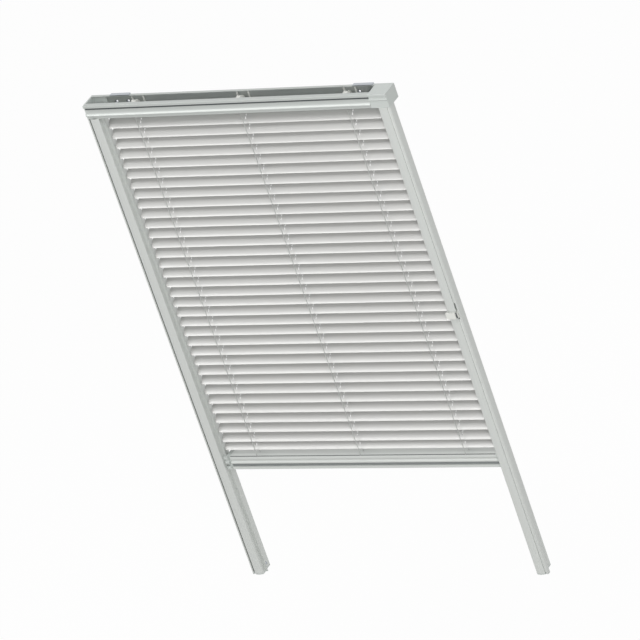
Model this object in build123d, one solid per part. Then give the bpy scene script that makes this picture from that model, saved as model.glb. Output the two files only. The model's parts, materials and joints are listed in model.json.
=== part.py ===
from build123d import *
import os

# Roof window venetian blind, millimetres.
# X runs along the head rail, +Y into the window, +Z up along the side rails.
# The origin is the centre of the head rail's back, where its brackets meet the sash.

os.makedirs("parts", exist_ok=True)

# Overall frame
FRAME_W = 622.0          # over the outer flanges of the side rails
FRAME_H = 1013.0         # top of the head rail to the ends of the rail feet
WALL = 1.3               # wall of every aluminium extrusion
FIT = 0.2                # gap round a moulded piece that plugs into an extrusion
RUN = 0.05               # radial gap of a running fit

# Head rail
HEAD_H = 28.0
HEAD_FRONT = -40.0       # front of the head rail's lip
BRACKET_T = 2.0          # the head rail's back stands this far off the sash
CHANNEL_FRONT = -36.2    # inside of the head rail's front wall
TOP_SLOT_FRONT = -31.0   # the channel is open at the top between these two
TOP_SLOT_BACK = -8.0
CAP_LEFT_T = 2.5
CAP_RIGHT_L = 36.0       # the right end piece also houses the cord wheel

# Side rails
FACE_W = 17.2            # convex main face
FACE_BULGE = 1.4         # height of its curve
SLOT_W = 3.0             # slot between main face and flange
FLANGE_SET_BACK = 2.0    # the flange lies this far behind the main face
FLANGE_W = 3.0
FLANGE_DEPTH = 7.0       # depth of the cord chamber under the flange
RAIL_BACK = -8.0
STEP_BACK = -29.0        # front of the lip that the bottom bar's shoes clasp
LIP_W = 4.6              # the lip stands this far inside the main face
REAR_SET_BACK = 1.2      # the rear box hides this far outside the main face's inner edge
FOOT_T = 3.0

# Slats
SLAT_COUNT = 34
SLAT_END_GAP = 1.2       # end of a slat to the side rail's lip
SLAT_W = 25.0
SLAT_T = 0.4
SLAT_CAMBER = 2.2
SLAT_CORNER_R = 4.0
SLAT_TILT = 42.0         # front edge down, at rest
SLAT_Y = -18.5
SLAT_FIRST_Z = -32.5
SLAT_PITCH = 21.0
SLAT_LAST_PITCH = 17.5   # the lowest slat hangs closer to its neighbour

# Ladders and lift cords
LADDER_INSET = 64.0      # an outer ladder stands this far inside the slats' ends
LADDER_SHIFT = 3.0       # the ladders sit a little nearer the tilt side
LADDER_HALF = 13.4       # ladder cord to slat axis
CORD_R = 0.6
RUNG_W = 0.8             # crosswise thread that carries the slat, one to a ladder
RUNG_T = 0.6
RUNG_CLEAR = 0.3         # it passes this far beside the cord through the slat
ROUTE_L = 10.0           # punched slot in a slat, across the slat
ROUTE_W = 2.6

# Tilt mechanism
ROD_FLATS = 6.0
DRUM_R = 10.4
DRUM_GROOVE_R = 9.4
DRUM_W = 9.0
HUB_R = 4.4
CRADLE_L = 26.0
CRADLE_T = 1.6
CORD_WHEEL_R = 9.6       # from the rod's axis to the cord's axis
FOOT_PULLEY_R = 6.0      # the same for the foot pulley

# Slider
KNOB_Z = -442.0
KNOB_H = 12.0
KNOB_PROUD = 3.4
KNOB_GAP = 0.4

# Bottom bar
BAR_TOP_Z = -742.0
BAR_H = 27.4
BAR_FRONT = -34.2
BAR_BACK = -4.5
BAR_PLATE_LEFT_T = 4.0   # end plates at the side rails
BAR_PLATE_RIGHT_T = 1.2
BAR_NECK_L = 5.2         # recessed neck between the bar's left end and its end plate
BAR_SIDE_GAP = 0.5       # end piece to side rail
JAW_BACK = -20.0         # back of the shoe's rear jaw
BAR_SLOT_W = 2.6         # slot along the top that takes the front ladder cords
BAR_SLOT_H = 5.0

# Brackets, joints of the frame and foot pulley
BRACKET_INSET = 61.0     # middle of a bracket to the head rail's end
BRACKET_L = 40.0
BRACKET_HOLE_R = 2.2
BRACKET_HOLE_GAP = 24.0
SCREW_ACCESS_R = 4.5     # opening in the head rail's back behind each bracket hole
SPIGOT_H = 15.0
FOOT_PLUG_H = 14.0
SCREW_R = 1.25
SCREW_L = 8.0
SCREW_HEAD_R = 2.9
SCREW_HEAD_T = 1.3
PULLEY_W = 3.0
PULLEY_PIN_R = 1.5

# Places worked out from the sizes above
HALF_W = FRAME_W / 2
HEAD_TOP = HEAD_H / 2
HEAD_BOTTOM = -HEAD_H / 2
HEAD_BACK = -BRACKET_T
RAIL_OUT = HALF_W                                # outer edge of the flange
SLOT_OUT = RAIL_OUT - FLANGE_W
FACE_OUT = SLOT_OUT - SLOT_W
FACE_IN = FACE_OUT - FACE_W
LIP_IN = FACE_IN - LIP_W
REAR_IN = FACE_IN + REAR_SET_BACK
RAIL_FRONT = HEAD_FRONT
FLANGE_FRONT = RAIL_FRONT + FLANGE_SET_BACK
CHAMBER_BACK = FLANGE_FRONT + FLANGE_DEPTH
REAR_OUT = FACE_OUT - 3.0                        # the rear box hides behind the flange
RAIL_FOOT_Z = HEAD_TOP - FRAME_H
RAIL_BOTTOM = RAIL_FOOT_Z + FOOT_T
CORD_A_X = (FACE_OUT + RAIL_OUT - WALL) / 2         # strand held by the slider
CORD_B_X = CORD_A_X - 2 * FOOT_PULLEY_R             # returning strand
CORD_Y = (FLANGE_FRONT + CHAMBER_BACK) / 2
SLAT_L = 2 * (LIP_IN - SLAT_END_GAP)
LADDER_GAP = SLAT_L / 2 - LADDER_INSET           # from one ladder to the next
LADDER_X = [LADDER_SHIFT + k * LADDER_GAP for k in (-1, 0, 1)]
SIDES = {"left": -1, "middle": 0, "right": 1}
SLAT_Z = [SLAT_FIRST_Z - SLAT_PITCH * k for k in range(SLAT_COUNT - 1)]
SLAT_Z.append(SLAT_Z[-1] - SLAT_LAST_PITCH)
BAR_BOTTOM_Z = BAR_TOP_Z - BAR_H
BAR_END = LIP_IN - BAR_SIDE_GAP
BAR_RIGHT_X = BAR_END - BAR_PLATE_RIGHT_T
BAR_LEFT_X = -(BAR_END - BAR_PLATE_LEFT_T - BAR_NECK_L)
BAR_HOLLOW_FRONT = BAR_FRONT + 4.9 + WALL
SCREW_Y = (STEP_BACK + RAIL_BACK) / 2
CAP_RIGHT_X = HALF_W - CAP_RIGHT_L
HEAD_LEFT_X = -HALF_W + CAP_LEFT_T
BRACKET_X = HALF_W - BRACKET_INSET
BRACKET_HOLES = [side * (BRACKET_X + step * BRACKET_HOLE_GAP) for side in (-1, 1) for step in (-0.5, 0.5)]
SCREW_Z = RAIL_BOTTOM + 8.0
PULLEY_X = (CORD_A_X + CORD_B_X) / 2
PULLEY_Z = RAIL_BOTTOM + 13.0
PULLEY_OUTER_R = FOOT_PULLEY_R + 1.2
RELIEF_TOP = PULLEY_Z + PULLEY_OUTER_R + 3.0
EAR_IN = DRUM_W / 2 + 0.4
FROM_END = (Align.CENTER, Align.CENTER, Align.MIN)   # a cylinder drawn from one end


def save(node, shape):
    """Write one named sub-part."""
    shape.label = node
    export_step(shape, f"parts/{node}.step")


def box(x0, x1, y0, y1, z0, z1):
    """A box between two corners."""
    return Pos((x0 + x1) / 2, (y0 + y1) / 2, (z0 + z1) / 2) * Box(x1 - x0, y1 - y0, z1 - z0)


def along_x(face, x0, x1):
    """Extrude an outline drawn in Y and Z from x0 to x1."""
    return Pos(x0, 0, 0) * extrude(Plane.YZ * face, x1 - x0)


def rod_x(radius, x0, x1, y=SLAT_Y, z=0.0):
    """A round bar along X, on the tilt rod's axis unless told otherwise."""
    return Pos(x0, y, z) * (Rot(0, 90, 0) * Cylinder(radius, x1 - x0, align=FROM_END))


def rod_z(radius, x, y, z0, z1):
    """A round bar along Z."""
    return Pos(x, y, z0) * Cylinder(radius, z1 - z0, align=FROM_END)


def rod_y(radius, x, z, y0, y1):
    """A round bar along Y."""
    return Pos(x, y0, z) * (Rot(-90, 0, 0) * Cylinder(radius, y1 - y0, align=FROM_END))


def hex_x(flats, x0, x1):
    """A hexagonal bar along X on the tilt rod's axis."""
    outline = RegularPolygon(flats / 2, 6, major_radius=False)
    return Pos(0, SLAT_Y, 0) * along_x(outline, x0, x1)


def mirror_x(shape):
    """The same piece for the other side."""
    return mirror(shape, Plane.YZ)


def outline(start, *steps):
    """A closed face from points, and from (middle, end) pairs for arcs."""
    edges = []
    here = start
    for step in steps:
        if isinstance(step[0], tuple):
            edges.append(ThreePointArc(here, step[0], step[1]))
            here = step[1]
        else:
            edges.append(Line(here, step))
            here = step
    edges.append(Line(here, start))
    return make_face(Curve() + edges)


def head_outline():
    """Head rail's outer outline: lip, dark groove, cove, ridge and recessed foot."""
    lip_h = 5.0
    groove_h = 2.8
    groove_y = HEAD_FRONT + 2.8
    cove_top = HEAD_TOP - lip_h - groove_h
    ridge_z = HEAD_BOTTOM + 7.4
    foot_y = HEAD_FRONT + 2.4
    return outline(
        (HEAD_BACK, HEAD_BOTTOM),
        (HEAD_BACK, HEAD_TOP),
        (HEAD_FRONT + 0.8, HEAD_TOP),
        ((HEAD_FRONT + 0.2, HEAD_TOP - 0.25), (HEAD_FRONT, HEAD_TOP - 0.9)),
        (HEAD_FRONT, HEAD_TOP - lip_h),
        (groove_y, HEAD_TOP - lip_h),
        (groove_y, cove_top),
        (HEAD_FRONT + 2.4, cove_top),
        ((HEAD_FRONT + 2.6, (cove_top + ridge_z) / 2), (HEAD_FRONT, ridge_z)),
        (HEAD_FRONT, ridge_z - 1.2),
        (foot_y, ridge_z - 2.4),
        (foot_y, HEAD_BOTTOM),
    )


def channel(x0, x1, floor=WALL):
    """The hollow of the head rail, open at the top between its two lips."""
    hollow = box(x0, x1, CHANNEL_FRONT, HEAD_BACK - WALL, HEAD_BOTTOM + floor, HEAD_TOP - WALL)
    return hollow + box(x0, x1, TOP_SLOT_FRONT, TOP_SLOT_BACK, HEAD_TOP - WALL - 1, HEAD_TOP + 1)


def head_rail():
    rail = along_x(head_outline(), HEAD_LEFT_X, CAP_RIGHT_X)
    rail -= channel(HEAD_LEFT_X - 1, CAP_RIGHT_X + 1)
    for x in LADDER_X:
        for y in (SLAT_Y - LADDER_HALF, SLAT_Y + LADDER_HALF, SLAT_Y):
            rail -= rod_z(CORD_R + 0.9, x, y, HEAD_BOTTOM - 1, HEAD_BOTTOM + WALL + 1)
    for x in BRACKET_HOLES:
        rail -= rod_y(SCREW_ACCESS_R, x, 0, HEAD_BACK - WALL - 1, HEAD_BACK + 1)
    return rail - mirror_x(spigot(0))


def spigot(fit=FIT):
    """Leg of a head rail end piece that stands in the rear box of the right side rail."""
    return box(REAR_IN + WALL + fit, REAR_OUT - WALL - fit, STEP_BACK + WALL + fit, RAIL_BACK - WALL - fit,
               HEAD_BOTTOM - SPIGOT_H, HEAD_BOTTOM + WALL + FIT + 0.8)


def head_cap_left():
    """End plate with a plug that fills the channel."""
    cap = along_x(head_outline(), -HALF_W, HEAD_LEFT_X)
    plug_x = HEAD_LEFT_X + 28
    return cap + cap_plug(HEAD_LEFT_X, plug_x) + mirror_x(spigot())


def cap_plug(x0, x1):
    """Tray-shaped plug that fills the end of the channel."""
    front, back, floor = CHANNEL_FRONT + FIT, HEAD_BACK - WALL - FIT, HEAD_BOTTOM + WALL + FIT
    plug = box(x0, x1, front, back, floor, HEAD_TOP - WALL - FIT)
    return plug - box(x0 - 1, x1 + 1, front + 1.6, back - 1.6, floor + 1.6, HEAD_TOP + 1)


def cap_right_outline():
    """The right end piece has flat recesses and a narrow ridge, higher up than the rail's."""
    ridge_z = HEAD_TOP - 11.5
    recess_y = HEAD_FRONT + 1.6
    return outline(
        (HEAD_BACK, HEAD_BOTTOM),
        (HEAD_BACK, HEAD_TOP),
        (HEAD_FRONT + 0.8, HEAD_TOP),
        ((HEAD_FRONT + 0.2, HEAD_TOP - 0.25), (HEAD_FRONT, HEAD_TOP - 0.9)),
        (HEAD_FRONT, HEAD_TOP - 3.4),
        (recess_y, HEAD_TOP - 4.2),
        (recess_y, ridge_z + 2.0),
        ((HEAD_FRONT, ridge_z), (recess_y, ridge_z - 2.0)),
        (recess_y, HEAD_BOTTOM),
    )


def head_cap_right():
    """Moulded housing of the cord wheel, with a bearing in its inner wall."""
    side_wall = 1.6
    inner_wall = 3.0
    cap = along_x(cap_right_outline(), CAP_RIGHT_X, HALF_W)
    cap -= box(CAP_RIGHT_X + inner_wall, HALF_W - side_wall, CHANNEL_FRONT - 0.6, HEAD_BACK - WALL,
               HEAD_BOTTOM + WALL, HEAD_TOP - WALL)
    cap -= rod_x(HUB_R + RUN, CAP_RIGHT_X - 1, CAP_RIGHT_X + inner_wall + 1)
    cap -= rod_x(2.5 + RUN, HALF_W - side_wall - 1, HALF_W - 0.6)
    for x in (CORD_A_X, CORD_B_X):
        cap -= box(x - 1.4, x + 1.4, CORD_Y - 1.4, CORD_Y + 1.4, HEAD_BOTTOM - 1, HEAD_BOTTOM + WALL + 1)
    return cap + cap_plug(CAP_RIGHT_X - 8, CAP_RIGHT_X) + spigot()


def bracket(x):
    """Pressed steel plate behind the head rail, with hooks over and under its back wall."""
    x0, x1 = x - BRACKET_L / 2, x + BRACKET_L / 2
    plate = box(x0, x1, HEAD_BACK, 0, HEAD_BOTTOM - 1.5, HEAD_TOP + 1.5)
    plate += box(x0, x1, HEAD_BACK - 6, HEAD_BACK, HEAD_TOP, HEAD_TOP + 1.5)
    plate += box(x0 + 10, x1 - 10, HEAD_BACK - 6, HEAD_BACK, HEAD_BOTTOM - 1.5, HEAD_BOTTOM)
    for hole in BRACKET_HOLES:
        plate -= rod_y(BRACKET_HOLE_R, hole, 0, HEAD_BACK - 1, 1)
    return plate


def rail_outline():
    """Right side rail: convex front box, slot and flange chamber, thin inner lip and rear box."""
    edge_y = RAIL_FRONT + FACE_BULGE
    outer = outline(
        (FACE_IN, STEP_BACK),
        (FACE_IN, edge_y + 1.2),
        ((FACE_IN + 0.35, edge_y + 0.35), (FACE_IN + 1.2, edge_y)),
        (((FACE_IN + FACE_OUT) / 2, RAIL_FRONT), (FACE_OUT, edge_y)),
        (FACE_OUT, FLANGE_FRONT + WALL),
        (SLOT_OUT, FLANGE_FRONT + WALL),
        (SLOT_OUT, FLANGE_FRONT),
        (RAIL_OUT - 0.6, FLANGE_FRONT),
        (RAIL_OUT, FLANGE_FRONT + 0.6),
        (RAIL_OUT, CHAMBER_BACK),
        (FACE_OUT, CHAMBER_BACK),
        (FACE_OUT, STEP_BACK + WALL),
        (REAR_OUT, STEP_BACK + WALL),
        (REAR_OUT, RAIL_BACK),
        (REAR_IN, RAIL_BACK),
        (REAR_IN, STEP_BACK + WALL),
        (LIP_IN, STEP_BACK + WALL),
        (LIP_IN, STEP_BACK),
    )
    chamber = outline(
        (FACE_OUT, FLANGE_FRONT + WALL - 0.01),
        (FACE_OUT, CHAMBER_BACK - WALL),
        (RAIL_OUT - WALL, CHAMBER_BACK - WALL),
        (RAIL_OUT - WALL, FLANGE_FRONT + WALL),
        (SLOT_OUT, FLANGE_FRONT + WALL),
        (SLOT_OUT, FLANGE_FRONT + WALL - 0.01),
    )
    front = outline(
        (FACE_IN + WALL, STEP_BACK - 0.001),
        (FACE_IN + WALL, edge_y + WALL + 0.3),
        (((FACE_IN + FACE_OUT) / 2, RAIL_FRONT + WALL), (FACE_OUT - WALL, edge_y + WALL + 0.3)),
        (FACE_OUT - WALL, STEP_BACK - 0.001),
    )
    rear = outline(
        (REAR_IN + WALL, STEP_BACK + WALL),
        (REAR_IN + WALL, RAIL_BACK - WALL),
        (REAR_OUT - WALL, RAIL_BACK - WALL),
        (REAR_OUT - WALL, STEP_BACK + WALL),
    )
    return outer, [chamber, front, rear]


def side_rail():
    """One extrusion with a hole for the foot's screw."""
    outer, hollows = rail_outline()
    length = HEAD_BOTTOM - RAIL_BOTTOM
    rail = Pos(0, 0, RAIL_BOTTOM) * extrude(outer, length)
    for hollow in hollows:
        rail -= Pos(0, 0, RAIL_BOTTOM - 1) * extrude(hollow, length + 2)
    return rail - rod_x(SCREW_R + FIT, REAR_IN - 1, REAR_IN + WALL + 1, SCREW_Y, SCREW_Z)


def side_rail_right():
    """At its lower end the web beside the cord chamber is cut away round the pulley."""
    half = (FLANGE_DEPTH - 2 * WALL) / 2
    relief = box(CORD_B_X - 2.5, RAIL_OUT - WALL, CORD_Y - half, CORD_Y + half, RAIL_BOTTOM - 1, RELIEF_TOP)
    return side_rail() - relief


def rail_foot():
    """End plate of a side rail with a plug in the rear box."""
    outer = rail_outline()[0]
    plate = Pos(0, 0, RAIL_FOOT_Z) * extrude(outer, FOOT_T)
    plug = box(REAR_IN + WALL + FIT, REAR_OUT - WALL - FIT, STEP_BACK + WALL + FIT, RAIL_BACK - WALL - FIT,
               RAIL_BOTTOM, RAIL_BOTTOM + FOOT_PLUG_H)
    plug -= rod_x(SCREW_R, REAR_IN, REAR_IN + SCREW_L + 1, SCREW_Y, SCREW_Z)
    return plate + plug


def rail_foot_right():
    """The right foot also has an arm and a pin for the pulley."""
    arm_front = CORD_Y + PULLEY_W / 2 + 0.3
    arm = box(CORD_B_X - 1, FACE_OUT - WALL - FIT, arm_front, STEP_BACK - FIT, RAIL_BOTTOM, PULLEY_Z + 5)
    pin = rod_y(PULLEY_PIN_R, PULLEY_X, PULLEY_Z, CORD_Y - PULLEY_W / 2 - 0.3, arm_front)
    return rail_foot() + arm + pin


def foot_screw():
    """Pan-head screw through the rear box's inner wall into the foot's plug."""
    head = rod_x(SCREW_HEAD_R, REAR_IN - SCREW_HEAD_T, REAR_IN, SCREW_Y, SCREW_Z)
    head = chamfer(head.edges().filter_by(GeomType.CIRCLE).sort_by(Axis.X)[0], 0.7)
    head -= box(REAR_IN - SCREW_HEAD_T - 1, REAR_IN - SCREW_HEAD_T + 0.6, SCREW_Y - 0.4, SCREW_Y + 0.4,
                SCREW_Z - SCREW_HEAD_R, SCREW_Z + SCREW_HEAD_R)
    return head + rod_x(SCREW_R, REAR_IN, REAR_IN + SCREW_L, SCREW_Y, SCREW_Z)


def foot_pulley():
    """Grooved wheel that turns on the foot's pin."""
    y0, y1 = CORD_Y - PULLEY_W / 2, CORD_Y + PULLEY_W / 2
    wheel = rod_y(PULLEY_OUTER_R, PULLEY_X, PULLEY_Z, y0, y1)
    groove = rod_y(PULLEY_OUTER_R + 1, PULLEY_X, PULLEY_Z, CORD_Y - 0.9, CORD_Y + 0.9)
    groove -= rod_y(FOOT_PULLEY_R - CORD_R - 0.1, PULLEY_X, PULLEY_Z, CORD_Y - 0.9, CORD_Y + 0.9)
    wheel -= groove
    return wheel - rod_y(PULLEY_PIN_R + RUN, PULLEY_X, PULLEY_Z, y0 - 1, y1 + 1)


def slat(z):
    """Cambered strip with rounded corners, punched slots and the rungs it lies on, tilted on its axis."""
    half = SLAT_W / 2
    across = [half * k / 3 for k in range(-3, 4)]
    crown = [(y, SLAT_CAMBER / 2 - SLAT_CAMBER * (y / half) ** 2) for y in across]
    under = [(y, height - SLAT_T) for y, height in reversed(crown)]
    strip = along_x(outline(*crown, *under), -SLAT_L / 2, SLAT_L / 2)
    end, cut = SLAT_L / 2, SLAT_CORNER_R * 0.35
    for sx in (-1, 1):
        for sy in (-1, 1):
            tip = (sx * end, sy * half)
            beside = (sx * (end - SLAT_CORNER_R), sy * half)
            middle = (sx * (end - cut), sy * (half - cut))
            below = (sx * end, sy * (half - SLAT_CORNER_R))
            corner = Polygon(tip, beside, middle, below, align=None)
            strip -= Pos(0, 0, -SLAT_W / 2) * extrude(corner, SLAT_W)
    for x in LADDER_X:
        strip -= box(x - ROUTE_W / 2, x + ROUTE_W / 2, -ROUTE_L / 2, ROUTE_L / 2, -SLAT_W / 2, SLAT_W / 2)
    rung_z = -SLAT_CAMBER / 2 - SLAT_T + 0.2
    for x in LADDER_X:
        x0 = x + CORD_R + RUNG_CLEAR
        strip += box(x0, x0 + RUNG_W, -half + 0.2, half - 0.2, rung_z - RUNG_T, rung_z)
    return Pos(0, SLAT_Y, z) * (Rot(SLAT_TILT, 0, 0) * strip)


def tilt_rod():
    """Hexagonal steel rod from the left cradle to the cord wheel."""
    return hex_x(ROD_FLATS, LADDER_X[0] - CRADLE_L / 2 - 2, HALF_W - 4.5)


def hex_bore(x0, x1):
    return hex_x(ROD_FLATS + 2 * RUN, x0 - 1, x1 + 1)


def ladder_drum(x):
    """Flanged drum with a hub at each side that runs in the cradle's ears."""
    half = DRUM_W / 2
    hub = EAR_IN + CRADLE_T + 0.3
    drum = rod_x(DRUM_R, x - half, x + half)
    groove = rod_x(DRUM_R + 1, x - half + 1.4, x + half - 1.4) - rod_x(DRUM_GROOVE_R, x - half, x + half)
    drum -= groove
    drum += rod_x(HUB_R, x - hub, x + hub)
    return drum - hex_bore(x - hub, x + hub)


def drum_cradle(x):
    """Moulded cradle on the channel's floor, with two bearing ears and holes for the cords."""
    floor_z = HEAD_BOTTOM + WALL
    front, back = CHANNEL_FRONT + FIT, HEAD_BACK - WALL - FIT
    cradle = box(x - CRADLE_L / 2, x + CRADLE_L / 2, front, back, floor_z, floor_z + CRADLE_T)
    for side in (-1, 1):
        x0, x1 = sorted((x + side * EAR_IN, x + side * (EAR_IN + CRADLE_T)))
        ear = box(x0, x1, SLAT_Y - 8, SLAT_Y + 8, floor_z, 0) + rod_x(8, x0, x1)
        cradle += ear
        post = x + side * (CRADLE_L / 2 - 1.5)
        for y0, y1 in ((front, front + CRADLE_T), (back - CRADLE_T, back)):
            cradle += box(post - 1.5, post + 1.5, y0, y1, floor_z, -floor_z - 1.5)
    cradle -= rod_x(HUB_R + RUN, x - CRADLE_L, x + CRADLE_L)
    for y in (SLAT_Y - LADDER_HALF, SLAT_Y, SLAT_Y + LADDER_HALF):
        cradle -= rod_z(CORD_R + 0.5, x, y, floor_z - 1, floor_z + CRADLE_T + 1)
    return cradle


def cord_wheel():
    """Two grooved discs on one hub, one for each end of the tilt cord."""
    left, right = CORD_B_X - 2.6, CORD_A_X + 1.7
    wheel = rod_x(HUB_R, CAP_RIGHT_X + 0.3, left) + rod_x(6.5, left, right)
    groove_r = CORD_WHEEL_R - CORD_R - 0.1
    for x in (CORD_B_X, CORD_A_X):
        disc = rod_x(CORD_WHEEL_R + 1.4, x - 1.5, x + 1.5)
        disc -= rod_x(CORD_WHEEL_R + 2, x - 0.8, x + 0.8) - rod_x(groove_r, x - 0.8, x + 0.8)
        wheel += disc
    wheel += rod_x(2.5, right, HALF_W - 0.8)
    return wheel - hex_bore(CAP_RIGHT_X, HALF_W - 5.4)


def tilt_slider():
    """Finger pad over the rail's face, with a neck through the slot and a clamp on the cord."""
    z0, z1 = KNOB_Z - KNOB_H / 2, KNOB_Z + KNOB_H / 2
    back = RAIL_FRONT - KNOB_GAP
    pad_out = FACE_OUT - 1.4
    pad = box(FACE_IN - 3.4, pad_out, back - KNOB_PROUD, back, z0, z1)
    pad = fillet(pad.edges().filter_by(Axis.Z).sort_by(Axis.Y)[:2], 1.4)
    leg = box(FACE_IN - 3.2, FACE_IN - KNOB_GAP, back - 1, back + 6.5, z0 + 0.5, z1 - 0.5)
    bridge = box(pad_out - 0.6, SLOT_OUT - KNOB_GAP, back - 0.9, back + 0.8, KNOB_Z - 4.5, KNOB_Z + 4.5)
    neck = box(FACE_OUT + KNOB_GAP, SLOT_OUT - KNOB_GAP, back - 0.4, CORD_Y - 1.2, KNOB_Z - 4, KNOB_Z + 4)
    depth = (FLANGE_DEPTH - 2 * WALL) / 2 - KNOB_GAP
    clamp_out = RAIL_OUT - WALL - KNOB_GAP
    clamp = box(FACE_OUT + KNOB_GAP, clamp_out, CORD_Y - depth, CORD_Y + depth, KNOB_Z - 8, KNOB_Z + 8)
    clamp -= rod_z(CORD_R + 0.3, CORD_A_X, CORD_Y, KNOB_Z - 9, KNOB_Z + 9)
    return pad + leg + bridge + neck + clamp


def tube(path, radius=CORD_R):
    """A plain cord along a path."""
    start = path @ 0
    return sweep(Plane(origin=start, z_dir=path % 0) * Circle(radius), path=path)


def tilt_cord():
    """Cord from the top of the wheel down, round the foot pulley and up to the wheel's underside."""
    top, low = CORD_WHEEL_R, -CORD_WHEEL_R
    turn = 4.0
    path = FilletPolyline(
        (CORD_A_X, SLAT_Y, top),
        (CORD_A_X, CORD_Y, top),
        (CORD_A_X, CORD_Y, PULLEY_Z - FOOT_PULLEY_R),
        (CORD_B_X, CORD_Y, PULLEY_Z - FOOT_PULLEY_R),
        (CORD_B_X, CORD_Y, low),
        (CORD_B_X, SLAT_Y, low),
        radius=[turn, FOOT_PULLEY_R - 0.001, FOOT_PULLEY_R - 0.001, turn],
    )
    return tube(path)


def ladder_cord(x, side):
    """One vertical of a ladder, from the bottom bar up through the head rail to the drum."""
    guide_z = HEAD_BOTTOM + WALL + CRADLE_T
    low = BAR_TOP_Z - (BAR_SLOT_H if side < 0 else 0)
    y_low = SLAT_Y + side * LADDER_HALF
    y_top = SLAT_Y + side * (DRUM_GROOVE_R + CORD_R + 0.1)
    path = FilletPolyline((x, y_low, low), (x, y_low, guide_z), (x, y_top, 1.0), radius=12)
    return tube(path)


def guide_cord(x):
    """Straight cord through the punched slots, held in the cradle's floor."""
    return rod_z(CORD_R, x, SLAT_Y, BAR_TOP_Z, HEAD_BOTTOM + WALL + CRADLE_T)


def bar_outline():
    """Bottom bar: flat top, two ribs, a deep undercut and a lower lip."""
    top, low = BAR_TOP_Z, BAR_BOTTOM_Z
    rib = BAR_FRONT
    groove = BAR_FRONT + 1.7
    return outline(
        (BAR_BACK, low),
        (BAR_BACK, top),
        (rib + 0.4, top),
        (rib + 0.4, top - 1.4),
        ((rib, top - 3.8), (groove, top - 7.2)),
        ((groove + 0.5, top - 8.8), (groove, top - 10.4)),
        ((rib, top - 13.2), (groove, top - 16.0)),
        (groove + 3.2, top - 17.0),
        (groove + 3.2, top - 21.0),
        (rib + 1.0, top - 22.4),
        (rib + 1.0, low),
    )


def bottom_bar():
    """Hollow extrusion with a narrow slot along its top, just behind the front."""
    bar = along_x(bar_outline(), BAR_LEFT_X, BAR_RIGHT_X)
    x0, x1, slot_y = BAR_LEFT_X - 1, BAR_RIGHT_X + 1, BAR_FRONT + 1.4
    bar -= box(x0, x1, BAR_HOLLOW_FRONT, BAR_BACK - WALL, BAR_BOTTOM_Z + WALL, BAR_TOP_Z - WALL)
    return bar - box(x0, x1, slot_y, slot_y + BAR_SLOT_W, BAR_TOP_Z - BAR_SLOT_H, BAR_TOP_Z + 1)


def bottom_cap(body_end, plate_t):
    """Right end piece: end plate, plug in the bar, neck, and a shoe of two jaws round the rail's lip."""
    plate_in = BAR_END - plate_t
    low, top = BAR_BOTTOM_Z, BAR_TOP_Z
    cap = along_x(bar_outline(), plate_in, BAR_END)
    front_jaw = along_x(bar_outline(), BAR_END, FACE_IN - BAR_SIDE_GAP)
    cap += front_jaw & box(BAR_END, FACE_IN, BAR_FRONT - 1, STEP_BACK - KNOB_GAP, low - 1, top + 1)
    cap += box(BAR_END, REAR_IN - KNOB_GAP, STEP_BACK + WALL + KNOB_GAP, JAW_BACK, low + 3, top - 3)
    cap += box(body_end - 12, plate_in, BAR_HOLLOW_FRONT + FIT, BAR_BACK - WALL - FIT, low + WALL + FIT,
               top - WALL - FIT)
    if plate_in > body_end:
        cap += box(body_end, plate_in, BAR_FRONT + 4.2, BAR_BACK - 1.0, low + 2.0, top - 1.0)
    return cap


def compound(solids):
    """Several separate solids of one kind in one node."""
    return Compound(children=solids)


save("head_rail", head_rail())
save("head_cap_left", head_cap_left())
save("head_cap_right", head_cap_right())
save("bracket_left", bracket(-BRACKET_X))
save("bracket_right", bracket(BRACKET_X))
save("side_rail_right", side_rail_right())
save("side_rail_left", mirror_x(side_rail()))
save("rail_foot_right", rail_foot_right())
save("rail_foot_left", mirror_x(rail_foot()))
save("foot_screws", compound([foot_screw(), mirror_x(foot_screw())]))
save("foot_pulley", foot_pulley())
save("tilt_rod", tilt_rod())
save("cord_wheel", cord_wheel())
for name, k in SIDES.items():
    save(f"ladder_drum_{name}", ladder_drum(LADDER_X[k + 1]))
    save(f"drum_cradle_{name}", drum_cradle(LADDER_X[k + 1]))
save("tilt_slider", tilt_slider())
save("tilt_cord", tilt_cord())
save("ladder_cords", compound([ladder_cord(x, side) for x in LADDER_X for side in (-1, 1)]))
save("guide_cords", compound([guide_cord(x) for x in LADDER_X]))
save("bottom_bar", bottom_bar())
save("bottom_cap_right", bottom_cap(BAR_RIGHT_X, BAR_PLATE_RIGHT_T))
save("bottom_cap_left", mirror_x(bottom_cap(-BAR_LEFT_X, BAR_PLATE_LEFT_T)))
for k, z in enumerate(SLAT_Z):
    save(f"slat_{k + 1:02d}", slat(z))
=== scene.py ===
# %% [markdown]
# # Roof window venetian blind
#
# A roof window slopes, so its blind can't simply hang: side rails carry the
# bottom bar and keep the slats in line. This lesson dresses a finished CAD
# model. The solids are already right in size and place, so each cell asks what
# a visible surface is on the real blind, and which of Blender's tools gives it.

# %% Load the solids
import json
import math

import bmesh
import bpy
from mathutils import Matrix, Vector


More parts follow.
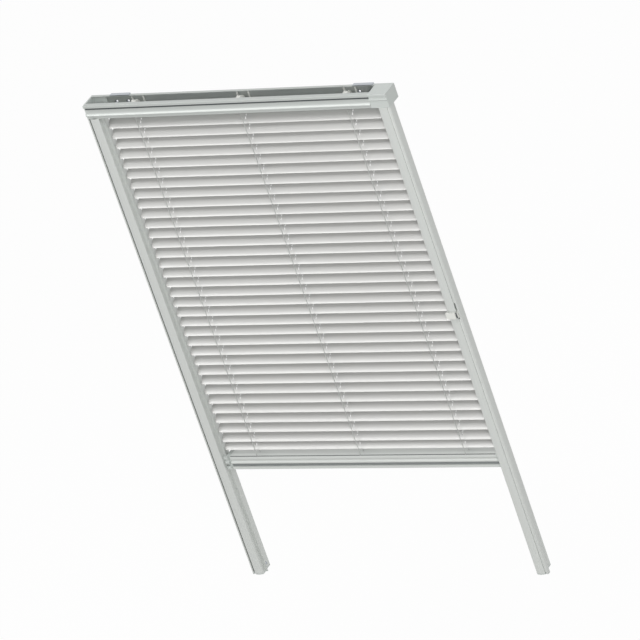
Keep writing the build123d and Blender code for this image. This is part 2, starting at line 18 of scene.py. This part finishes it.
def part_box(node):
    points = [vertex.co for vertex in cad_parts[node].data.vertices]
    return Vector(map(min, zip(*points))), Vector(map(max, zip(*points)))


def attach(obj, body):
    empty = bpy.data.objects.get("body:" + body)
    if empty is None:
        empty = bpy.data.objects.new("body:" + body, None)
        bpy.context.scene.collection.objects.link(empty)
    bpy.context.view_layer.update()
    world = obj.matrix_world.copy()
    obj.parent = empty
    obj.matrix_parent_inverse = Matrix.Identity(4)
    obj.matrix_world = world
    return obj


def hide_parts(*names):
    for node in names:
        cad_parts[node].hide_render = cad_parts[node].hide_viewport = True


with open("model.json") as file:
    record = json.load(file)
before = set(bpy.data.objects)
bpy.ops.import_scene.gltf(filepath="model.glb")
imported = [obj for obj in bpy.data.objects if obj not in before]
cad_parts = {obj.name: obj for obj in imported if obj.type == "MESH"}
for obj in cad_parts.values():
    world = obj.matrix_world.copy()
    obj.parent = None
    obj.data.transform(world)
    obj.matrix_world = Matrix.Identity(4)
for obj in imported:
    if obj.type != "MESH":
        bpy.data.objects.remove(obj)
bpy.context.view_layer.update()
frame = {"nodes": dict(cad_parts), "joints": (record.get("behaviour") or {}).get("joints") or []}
nodes = frame["nodes"]

# %% [markdown]
# ## Small helpers
# Colours are written as sRGB hex, the way a paint shop or a picture gives
# them. Shaders work in linear light, so one function converts them. Another
# adds one shader node with its settings and links. Every finish here varies a
# little over its surface, so two short functions turn a noise into a range and
# a range into lighter and darker colour. The last ones turn a finished bmesh
# into an object whose place is in its mesh, and give solids a material.

# %% Helpers
MM = 0.001


def srgb(code):
    """Linear RGBA from an sRGB hex code."""
    values = [int(code[k:k + 2], 16) / 255 for k in (0, 2, 4)]
    return [v / 12.92 if v <= 0.04045 else ((v + 0.055) / 1.055) ** 2.4 for v in values] + [1.0]


def add(tree, kind, sockets=None, **settings):
    """Add a node. A socket gets a value, or a link where its value is another node's output."""
    node = tree.nodes.new(kind)
    for name, value in settings.items():
        setattr(node, name, value)
    for name, value in (sockets or {}).items():
        if isinstance(value, bpy.types.NodeSocket):
            tree.links.new(value, node.inputs[name])
        else:
            node.inputs[name].default_value = value
    return node


def spread(tree, pattern, low, high):
    """Turn the middle of a noise pattern, 0.3 to 0.7, into the range low to high."""
    return add(tree, "ShaderNodeMapRange", {"Value": pattern.outputs["Fac"], "From Min": 0.3, "From Max": 0.7,
                                            "To Min": low, "To Max": high})


def shade(tree, colour, tint):
    """A colour made lighter and darker by a tint."""
    sockets = {0: srgb(colour)[:3], 3: tint.outputs[0]}
    return add(tree, "ShaderNodeVectorMath", sockets, operation="SCALE")


def start_material(name):
    """An empty material with nodes."""
    made = bpy.data.materials.new(name)
    made.use_nodes = True
    made.node_tree.nodes.clear()
    return made


def make_piece(name, bm, material, smooth_angle=35):
    """Object from a bmesh that already stands in the blind's own frame."""
    mesh = bpy.data.meshes.new(name)
    bm.to_mesh(mesh)
    bm.free()
    mesh.shade_smooth()
    mesh.set_sharp_from_angle(angle=math.radians(smooth_angle))
    mesh.materials.append(material)
    piece = bpy.data.objects.new(name, mesh)
    bpy.context.scene.collection.objects.link(piece)
    return piece


def dress(node_names, material):
    """Give a material to solids whose shape stays as the CAD has it."""
    for name in node_names:
        nodes[name].data.materials.clear()
        nodes[name].data.materials.append(material)


print("sRGB 808080 is", round(srgb("808080")[0], 3), "in linear light")

# %% [markdown]
# ## Camera
# The blind stands upright in its own frame, while the picture shows it rolled
# and from above. A long lens far away keeps the rails nearly parallel. The
# three directions below were fitted to the outlines of the rails and slats.

# %% Camera
CAMERA_PLACE = (6.3262, -8.9288, 5.2280)
CAMERA_RIGHT = Vector((0.85817, 0.42091, -0.29392))
CAMERA_UP = Vector((0.01826, 0.54713, 0.83685))
LENS_MM = 388.25

camera_data = bpy.data.cameras.new("camera")
camera_data.sensor_width = 36
camera_data.lens = LENS_MM
camera_data.clip_end = 100
camera = bpy.data.objects.new("camera", camera_data)
bpy.context.scene.collection.objects.link(camera)
camera_back = CAMERA_RIGHT.cross(CAMERA_UP)
turn = Matrix((CAMERA_RIGHT, CAMERA_UP, camera_back)).transposed().to_4x4()
camera.matrix_world = Matrix.Translation(CAMERA_PLACE) @ turn
bpy.context.scene.camera = camera
print("camera lens", LENS_MM, "mm")

# %% [markdown]
# ## Floor and world
# The floor lies well under the hanging blind. To the camera it is nearly white
# by its own glow, with enough plain diffuse left to catch a soft shadow. The
# world is white too where the camera or a glossy surface sees it, but lights
# the blind at only half that strength, so that the lamps can shape it.

# %% Floor and world
FLOOR_Z = -1.5
FLOOR_HALF = 40
FLOOR_GLOW = 0.96
WORLD_FILL = 0.5

scene = bpy.context.scene
scene.view_settings.view_transform = "Standard"


def seen_or_mirrored(tree):
    """1 for rays from the camera and from glossy surfaces, else 0."""
    rays = add(tree, "ShaderNodeLightPath")
    kinds = {0: rays.outputs["Is Camera Ray"], 1: rays.outputs["Is Glossy Ray"]}
    return add(tree, "ShaderNodeMath", kinds, operation="MAXIMUM")


paper = start_material("white_paper_floor")
tree = paper.node_tree
seen = seen_or_mirrored(tree)
matt = add(tree, "ShaderNodeBsdfDiffuse", {"Color": srgb("F2F2F0")})
glow = add(tree, "ShaderNodeEmission", {"Color": srgb("FFFFFF"), "Strength": 1.0})
share = add(tree, "ShaderNodeMath", {0: seen.outputs[0], 1: FLOOR_GLOW}, operation="MULTIPLY")
both = add(tree, "ShaderNodeMixShader", {0: share.outputs[0], 1: matt.outputs[0], 2: glow.outputs[0]})
add(tree, "ShaderNodeOutputMaterial", {"Surface": both.outputs[0]})

bm = bmesh.new()
bmesh.ops.create_grid(bm, x_segments=1, y_segments=1, size=FLOOR_HALF)
bmesh.ops.translate(bm, verts=bm.verts, vec=(0, 0, FLOOR_Z))
floor = make_piece("floor", bm, paper)

world = bpy.data.worlds.new("studio")
world.use_nodes = True
scene.world = world
tree = world.node_tree
tree.nodes.clear()
seen = seen_or_mirrored(tree)
fill = add(tree, "ShaderNodeBackground", {"Color": srgb("FFFFFF"), "Strength": WORLD_FILL})
white = add(tree, "ShaderNodeBackground", {"Color": srgb("FFFFFF"), "Strength": 1.0})
both = add(tree, "ShaderNodeMixShader", {0: seen.outputs[0], 1: fill.outputs[0], 2: white.outputs[0]})
add(tree, "ShaderNodeOutputWorld", {"Surface": both.outputs[0]})
print("floor at", FLOOR_Z, "m")

# %% [markdown]
# ## Lamps
# The key lamp hangs overhead, so each slat shades the upper part of the next
# one. The lamp on the left stands where the slats' rolled front edges mirror it
# to the camera, which draws the thin bright line along each. The one on the
# right lights the rails' flanks and slots.

# %% Lamps
BLIND_MIDDLE = (0, 0, -0.5)


def lamp(name, place, power, width, height):
    """A rectangular area lamp that faces the middle of the blind."""
    data = bpy.data.lights.new(name, "AREA")
    data.energy = power
    data.shape = "RECTANGLE"
    data.size = width
    data.size_y = height
    made = bpy.data.objects.new(name, data)
    made.location = place
    made.rotation_euler = (Vector(BLIND_MIDDLE) - Vector(place)).to_track_quat("-Z", "Y").to_euler()
    scene.collection.objects.link(made)


lamp("key", (0.8, -1.7, 3.3), 64, 1.6, 1.6)
lamp("front_left", (-4.0, -5.87, 2.8), 68, 3.2, 1.1)
lamp("front_right", (2.6, -2.7, 1.1), 34, 1.0, 1.0)

# %% [markdown]
# ## Powder-coated extrusions
# The head rail, side rails and bottom bar are extruded aluminium. Extruding
# leaves faint straight die lines along the length, which a thin coat softens
# but doesn't hide. A noise stretched along the length gives them. The coat
# itself has a fine orange peel, which only shows as a soft, broken highlight.


# %% Coated aluminium
def coated_aluminium(name, colour, along, roughness=0.42, metal=0.3):
    """Silver-grey coat on an extrusion whose die lines run along X or Z."""
    made = start_material(name)
    tree = made.node_tree
    place = add(tree, "ShaderNodeTexCoord")
    # Die lines about 0.8 mm apart; finer ones don't show at this size.
    scale = (4, 1250, 1250) if along == "X" else (1250, 1250, 4)
    stretched = add(tree, "ShaderNodeMapping", {"Vector": place.outputs["Object"], "Scale": scale})
    lines = add(tree, "ShaderNodeTexNoise", {"Vector": stretched.outputs[0], "Scale": 1.0, "Detail": 2.0})
    peel = add(tree, "ShaderNodeTexNoise", {"Vector": place.outputs["Object"], "Scale": 900.0, "Detail": 1.0})
    shaded = shade(tree, colour, spread(tree, lines, 0.97, 1.02))
    ground = add(tree, "ShaderNodeBump", {"Height": lines.outputs["Fac"], "Strength": 0.12,
                                          "Distance": 0.08 * MM})
    coat = add(tree, "ShaderNodeBump", {"Height": peel.outputs["Fac"], "Normal": ground.outputs[0],
                                        "Strength": 0.12, "Distance": 0.05 * MM})
    gloss = spread(tree, peel, roughness - 0.04, roughness + 0.05)
    skin = add(tree, "ShaderNodeBsdfPrincipled", {"Base Color": shaded.outputs[0], "Metallic": metal,
                                                  "Roughness": gloss.outputs[0], "Normal": coat.outputs[0]})
    add(tree, "ShaderNodeOutputMaterial", {"Surface": skin.outputs[0]})
    return made


RAIL_GREY = "CCCFCC"
# Painted shade: the head rail's grey is darker than the side rails' same coat.
HEAD_SHADED_GREY = "BBBFBC"
coat_along_x = coated_aluminium("powder_coated_aluminium_long", RAIL_GREY, "X")
coat_along_z = coated_aluminium("powder_coated_aluminium_tall", RAIL_GREY, "Z")
# In the picture the head rail is a step darker than the side rails, with a sharper light on its ridge. It has
# the side rails' coat, so its darker grey is painted shade; lower roughness and more metal give its ridge the
# sharper light.
head_coat_painted_shade = coated_aluminium("powder_coated_aluminium_head_painted_shade", HEAD_SHADED_GREY, "X", roughness=0.36, metal=0.45)
dress(["bottom_bar"], coat_along_x)
dress(["head_rail"], head_coat_painted_shade)
dress(["side_rail_left", "side_rail_right"], coat_along_z)
print("extrusions dressed")

# %% [markdown]
# ## Moulded and plated pieces
# End pieces are moulded ABS in the rails' colour: no die lines, a slightly
# duller skin with a fine spark-eroded grain. The drums, cradles and wheels
# inside are acetal, milky and smooth. Brackets, rod and screws are zinc-plated
# steel with a faint bluish bloom.


# %% Moulded plastic and plated steel
def moulded_plastic(name, colour, roughness, grain_mm, depth_mm):
    """Injection moulding with the eroded grain of its mould."""
    made = start_material(name)
    tree = made.node_tree
    place = add(tree, "ShaderNodeTexCoord")
    grain = add(tree, "ShaderNodeTexNoise", {"Vector": place.outputs["Object"], "Scale": 1 / (grain_mm * MM),
                                             "Detail": 3.0})
    shaded = shade(tree, colour, spread(tree, grain, 0.98, 1.01))
    relief = add(tree, "ShaderNodeBump", {"Height": grain.outputs["Fac"], "Strength": 0.2,
                                          "Distance": depth_mm * MM})
    skin = add(tree, "ShaderNodeBsdfPrincipled", {"Base Color": shaded.outputs[0], "Roughness": roughness,
                                                  "IOR": 1.53, "Normal": relief.outputs[0]})
    add(tree, "ShaderNodeOutputMaterial", {"Surface": skin.outputs[0]})
    return made


def plated_steel(name):
    """Bright zinc on pressed steel: mottled in roughness, not in colour."""
    made = start_material(name)
    tree = made.node_tree
    place = add(tree, "ShaderNodeTexCoord")
    # Patches of bloom about 4 mm wide.
    bloom = add(tree, "ShaderNodeTexNoise", {"Vector": place.outputs["Object"], "Scale": 260.0,
                                             "Detail": 4.0})
    gloss = spread(tree, bloom, 0.28, 0.46)
    skin = add(tree, "ShaderNodeBsdfPrincipled", {"Base Color": srgb("B9BDC2"), "Metallic": 1.0,
                                                  "Roughness": gloss.outputs[0]})
    add(tree, "ShaderNodeOutputMaterial", {"Surface": skin.outputs[0]})
    return made


grey_abs = moulded_plastic("moulded_abs_light_grey", "C2C7C4", roughness=0.48, grain_mm=0.5, depth_mm=0.03)
white_acetal = moulded_plastic("moulded_acetal_milky", "DCDDD8", roughness=0.38, grain_mm=0.8, depth_mm=0.01)
zinc = plated_steel("zinc_plated_steel")
dress(["head_cap_left", "head_cap_right", "bottom_cap_left", "bottom_cap_right"], grey_abs)
dress(["rail_foot_left", "rail_foot_right"], grey_abs)
dress(["ladder_drum_left", "ladder_drum_middle", "ladder_drum_right"], white_acetal)
dress(["drum_cradle_left", "drum_cradle_middle", "drum_cradle_right"], white_acetal)
dress(["cord_wheel", "foot_pulley", "tilt_slider"], white_acetal)
dress(["bracket_left", "bracket_right", "tilt_rod", "foot_screws"], zinc)
print("mouldings and steel dressed")

# %% [markdown]
# ## Enamelled slats
# A slat is aluminium strip 25 mm wide, enamelled flat on a coil, then rolled
# to its camber and punched. The enamel is smooth and a little glossy. It could
# be an array of one slat, but each slat has its own hinge, so each is its own
# piece. For each, a flat grid is rounded, cut, bent and thickened the same way.


# %% Slat enamel
def slat_enamel(name, colour):
    """Coil enamel: satin, with a very shallow roller texture along the strip."""
    made = start_material(name)
    tree = made.node_tree
    place = add(tree, "ShaderNodeTexCoord")
    # Roller marks about 1.5 mm apart across the strip and 25 mm long.
    drawn = add(tree, "ShaderNodeMapping", {"Vector": place.outputs["Object"], "Scale": (40, 700, 700)})
    roller = add(tree, "ShaderNodeTexNoise", {"Vector": drawn.outputs[0], "Scale": 1.0, "Detail": 2.0})
    shaded = shade(tree, colour, spread(tree, roller, 0.985, 1.01))
    relief = add(tree, "ShaderNodeBump", {"Height": roller.outputs["Fac"], "Strength": 0.08,
                                          "Distance": 0.04 * MM})
    skin = add(tree, "ShaderNodeBsdfPrincipled", {"Base Color": shaded.outputs[0], "Metallic": 0.1,
                                                  "Roughness": 0.24, "Normal": relief.outputs[0]})
    add(tree, "ShaderNodeOutputMaterial", {"Surface": skin.outputs[0]})
    return made


enamel = slat_enamel("coil_enamel_light_grey", "C5C5C3")
print("material", enamel.name)

# %% [markdown]
# The sizes repeat the solids' own, and the slat's length is read from the
# first solid. The ladders' places along the slat come from where the straight
# cords stand. Only the slots differ: the solids have plain 2.6 mm cut-outs,
# while a punch leaves round ends and little more width than the cord needs.

# %% One slat
SLAT_W = 25.0 * MM
SLAT_T = 0.4 * MM
CAMBER = 2.2 * MM
CORNER_R = 4.0 * MM
TILT = math.radians(42)
ROUTE_L = 10.0 * MM
ROUTE_W = 1.6 * MM
# 1 - cos 45 degrees: the share of the radius that brings a square's corner onto its circle.
ROUND_END = 0.293
# Lines along the slat, at most 2 mm apart so that the camber is round. Those at 5 mm meet the slots' ends.
LINES_MM = (0, 2, 4, 5, 6.5, 8.3, 10, 11.4)
LADDER_X = [-215.0 * MM, 3.0 * MM, 221.0 * MM]
NEAR = 0.001 * MM

low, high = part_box("slat_01")
SLAT_L = high.x - low.x
print("slat length", round(SLAT_L / MM, 1), "mm")


def cut_at(bm, point, normal):
    """Score a straight line across the sheet."""
    everything = bm.verts[:] + bm.edges[:] + bm.faces[:]
    bmesh.ops.bisect_plane(bm, geom=everything, plane_co=point, plane_no=normal)


def make_slat_mesh():
    """A flat sheet, rounded, scored, punched, bent and given its thickness."""
    bm = bmesh.new()
    bmesh.ops.create_grid(bm, x_segments=1, y_segments=1, size=0.5)
    bmesh.ops.scale(bm, vec=(SLAT_L, SLAT_W, 1), verts=bm.verts)
    bmesh.ops.bevel(bm, geom=bm.verts[:], offset=CORNER_R, segments=5, profile=0.5, affect="VERTICES",
                    material=-1)
    for place in LINES_MM:
        for side in (-1, 1):
            cut_at(bm, (0, side * place * MM, 0), (0, 1, 0))
    for x in LADDER_X:
        for side in (-0.5, 0, 0.5):
            cut_at(bm, (x + side * ROUTE_W, 0, 0), (1, 0, 0))
    punched = [f for f in bm.faces
               if min(abs(f.calc_center_median().x - x) for x in LADDER_X) < ROUTE_W / 2
               and abs(f.calc_center_median().y) < ROUTE_L / 2]
    bmesh.ops.delete(bm, geom=punched, context="FACES")
    # A punch is round-ended, so each slot's four corners are pulled in onto its end circles.
    for v in bm.verts:
        across = min((v.co.x - x for x in LADDER_X), key=abs)
        if abs(abs(across) - ROUTE_W / 2) < NEAR and abs(abs(v.co.y) - ROUTE_L / 2) < NEAR:
            v.co.x -= math.copysign(ROUND_END * ROUTE_W / 2, across)
            v.co.y -= math.copysign(ROUND_END * ROUTE_W / 2, v.co.y)
    for v in bm.verts:
        v.co.z = CAMBER / 2 - CAMBER * (v.co.y / (SLAT_W / 2)) ** 2
    bmesh.ops.recalc_face_normals(bm, faces=bm.faces)
    if sum(f.normal.z for f in bm.faces) < 0:
        bmesh.ops.reverse_faces(bm, faces=bm.faces)
    bmesh.ops.solidify(bm, geom=bm.faces[:], thickness=SLAT_T)
    return bm


def stand_at(joint):
    """From a slat's own flat place to its hinge, tilted."""
    return Matrix.Translation(joint["pos_m"]) @ Matrix.Rotation(TILT, 4, "X")


slat_joints = [j for j in frame["joints"] if j["child"].startswith("slat_")]
for joint in slat_joints:
    body = joint["child"]
    bm = make_slat_mesh()
    bmesh.ops.transform(bm, matrix=stand_at(joint), verts=bm.verts)
    slat = make_piece(body + "_enamelled", bm, enamel)
    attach(slat, body)
    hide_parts(body)
print(len(slat_joints), "slats")

# %% [markdown]
# ## Ladder thread and cords
# Ladders and cords are braided polyester. A ladder has two uprights and, for
# each slat, a thin rung that the slat lies on. The braid is finer than a pixel
# here, so its pattern is drawn a little coarser, as a fine slanting relief.


# %% Braided polyester
# A real braid repeats each 0.7 mm. Diagonal bands repeat each 2 pi / 10 at scale 1.
BRAID_STEP = 1.5 * MM


def braided_polyester(name, colour):
    """Slanting bands of a fine braid, dull and a little fuzzy."""
    made = start_material(name)
    tree = made.node_tree
    place = add(tree, "ShaderNodeTexCoord")
    scale = 2 * math.pi / 10 / BRAID_STEP
    braid = add(tree, "ShaderNodeTexWave", {"Vector": place.outputs["Object"], "Scale": scale,
                                            "Distortion": 1.5}, wave_type="BANDS", bands_direction="DIAGONAL")
    tint = add(tree, "ShaderNodeMapRange", {"Value": braid.outputs["Fac"], "To Min": 0.86, "To Max": 1.0})
    shaded = shade(tree, colour, tint)
    relief = add(tree, "ShaderNodeBump", {"Height": braid.outputs["Fac"], "Strength": 0.5,
                                          "Distance": 0.1 * MM})
    skin = add(tree, "ShaderNodeBsdfPrincipled", {"Base Color": shaded.outputs[0], "Roughness": 0.75,
                                                  "Sheen Weight": 0.2, "Normal": relief.outputs[0]})
    add(tree, "ShaderNodeOutputMaterial", {"Surface": skin.outputs[0]})
    return made


polyester = braided_polyester("braided_polyester_grey", "B3B6B3")
dress(["ladder_cords", "guide_cords", "tilt_cord"], polyester)
print("cords dressed")

# %% [markdown]
# The rungs ride on the slats. Each passes just beside the straight cord and
# under both edges of its slat, and is drawn as a thin round thread.

# %% Rungs
RUNG_X = 1.3 * MM
RUNG_Z = -1.75 * MM
RUNG_R = 0.35 * MM
RUNG_L = 26.4 * MM
RUNG_SIDES = 8

for joint in slat_joints:
    bm = bmesh.new()
    for x in LADDER_X:
        lie = Matrix.Translation((x + RUNG_X, 0, RUNG_Z)) @ Matrix.Rotation(math.radians(90), 4, "X")
        bmesh.ops.create_cone(bm, cap_ends=True, segments=RUNG_SIDES, radius1=RUNG_R, radius2=RUNG_R,
                              depth=RUNG_L, matrix=lie)
    bmesh.ops.transform(bm, matrix=stand_at(joint), verts=bm.verts)
    rungs = make_piece(joint["child"] + "_rungs", bm, polyester)
    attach(rungs, joint["child"])
print("rungs laid under", len(slat_joints), "slats")

# %% [markdown]
# ## Painted shade in the grooves
# Two thin dark lines run along the blind in the picture, one under the head
# rail's lip and one along the front of the bottom bar's top. A bare groove this
# wide would be filled with light, so each holds a dark strip that stands in for
# its shade: painted shade, not a seal or clamp of the real blind.


# %% Painted shade strips in the grooves
HEAD_GROOVE_SHADE_Y = (-38.4 * MM, -37.0 * MM)
HEAD_GROOVE_SHADE_Z = (5.0 * MM, 8.9 * MM)
BAR_GROOVE_SHADE_Y = (-32.75 * MM, -30.25 * MM)
BAR_GROOVE_SHADE_DOWN = (5.0 * MM, 0.5 * MM)


def eased_bar(low, high, chamfer):
    """A bar between two corners with its edges eased."""
    bm = bmesh.new()
    bmesh.ops.create_cube(bm, size=1)
    bmesh.ops.scale(bm, vec=Vector(high) - Vector(low), verts=bm.verts)
    bmesh.ops.bevel(bm, geom=bm.edges[:], offset=chamfer, segments=2, profile=0.5, affect="EDGES",
                    material=-1)
    bmesh.ops.translate(bm, vec=(Vector(low) + Vector(high)) / 2, verts=bm.verts)
    return bm


def long_strip(name, low, high, material, chamfer):
    """A strip that stays with the rails."""
    strip = make_piece(name, eased_bar(low, high, chamfer), material)
    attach(strip, "frame")
    print(name, [round(side / MM, 1) for side in Vector(high) - Vector(low)], "mm")


# Painted shade: a dark grey that stands in for the shade in the grooves.
groove_shade_dark = moulded_plastic("dark_grey_groove_painted_shade", "505455", roughness=0.9, grain_mm=0.4, depth_mm=0.12)
low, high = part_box("head_rail")
# Painted shade: a dark strip in the head rail's groove under its lip.
long_strip("head_groove_painted_shade", (low.x, HEAD_GROOVE_SHADE_Y[0], HEAD_GROOVE_SHADE_Z[0]), (high.x, HEAD_GROOVE_SHADE_Y[1], HEAD_GROOVE_SHADE_Z[1]),
           groove_shade_dark, 0.4 * MM)
low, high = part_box("bottom_bar")
# Painted shade: a dark strip in the groove along the front of the bar's top.
long_strip("bar_groove_painted_shade", (low.x, BAR_GROOVE_SHADE_Y[0], high.z - BAR_GROOVE_SHADE_DOWN[0]),
           (high.x, BAR_GROOVE_SHADE_Y[1], high.z - BAR_GROOVE_SHADE_DOWN[1]), groove_shade_dark, 0.2 * MM)

# %% [markdown]
# ## Painted shade under the bottom bar's rib
# The undercut below the bar's lower rib is darker in the picture than its
# shape alone would make it. A middle grey strip in it stands in for that shade:
# painted shade, not a seal of the real blind.

# %% Painted shade under the bar's rib
BAR_UNDERCUT_SHADE_Y = (-31.8 * MM, -29.4 * MM)
BAR_UNDERCUT_SHADE_DOWN = (20.9 * MM, 17.1 * MM)

# Painted shade: a middle grey for the shade in the bar's undercut.
undercut_shade_grey = moulded_plastic("middle_grey_undercut_painted_shade", "888C8C", roughness=0.9, grain_mm=0.4, depth_mm=0.12)
low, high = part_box("bottom_bar")
# Painted shade: this strip darkens the undercut below the bar's lower rib.
long_strip("bar_undercut_painted_shade", (low.x, BAR_UNDERCUT_SHADE_Y[0], high.z - BAR_UNDERCUT_SHADE_DOWN[0]),
           (high.x, BAR_UNDERCUT_SHADE_Y[1], high.z - BAR_UNDERCUT_SHADE_DOWN[1]), undercut_shade_grey, 0.3 * MM)

# %% [markdown]
# ## Cover in the rail's slot
# The slot beside the right rail's face runs the whole length, because the rail
# is an extrusion, but the slider uses only 24 mm of it. The picture shows no
# dark line there, so a light cover strip is taken to close the rest. It stops
# clear of the slider's travel.

# %% Slot cover
COVER_X = (305.1 * MM, 307.9 * MM)
COVER_Y = (-37.7 * MM, -36.5 * MM)
COVER_END = 1.0 * MM
# The slider's neck is 8 mm high and travels 4.8 mm down and 19 mm up.
NECK_DOWN = 9.5 * MM
NECK_UP = 23.7 * MM

cover_grey = moulded_plastic("extruded_pvc_light_grey", "D2D5D2", roughness=0.45, grain_mm=0.6, depth_mm=0.01)
low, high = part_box("tilt_slider")
slider_z = (low.z + high.z) / 2
rail_low, rail_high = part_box("side_rail_right")
for name, z0, z1 in (("slot_cover_lower", rail_low.z + COVER_END, slider_z - NECK_DOWN),
                     ("slot_cover_upper", slider_z + NECK_UP, rail_high.z - COVER_END)):
    long_strip(name, (COVER_X[0], COVER_Y[0], z0), (COVER_X[1], COVER_Y[1], z1), cover_grey, 0.3 * MM)

# %% [markdown]
# ## Painted shade on the slider
# The picture shows a dark strip between the slider's pad and the rail's outer
# ridge. A dark grey strip on the slider's bridge stands in for it: painted shade
# of the slot beside the pad, not a wiper of the real blind.

# %% Painted shade on the slider
# Painted shade: a dark strip beside the slider's pad, for the shade of the slot.
SHADE_STRIP_X = (303.7 * MM, 306.8 * MM)
SHADE_STRIP_Y = (-41.6 * MM, -41.2 * MM)
SHADE_STRIP_HALF = 5.6 * MM

# Painted shade: a dark grey that stands in for the slot's shade beside the pad.
shade_strip_grey = moulded_plastic("dark_grey_slider_painted_shade", "55585A", roughness=0.9, grain_mm=0.4, depth_mm=0.12)
low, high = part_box("tilt_slider")
slider_z = (low.z + high.z) / 2
shade_strip_low = (SHADE_STRIP_X[0], SHADE_STRIP_Y[0], slider_z - SHADE_STRIP_HALF)
shade_strip_high = (SHADE_STRIP_X[1], SHADE_STRIP_Y[1], slider_z + SHADE_STRIP_HALF)
shade_strip = make_piece("slider_painted_shade", eased_bar(shade_strip_low, shade_strip_high, 0.15 * MM), shade_strip_grey)
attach(shade_strip, "tilt_slider")
print("wiper on the slider at", round(slider_z / MM), "mm")
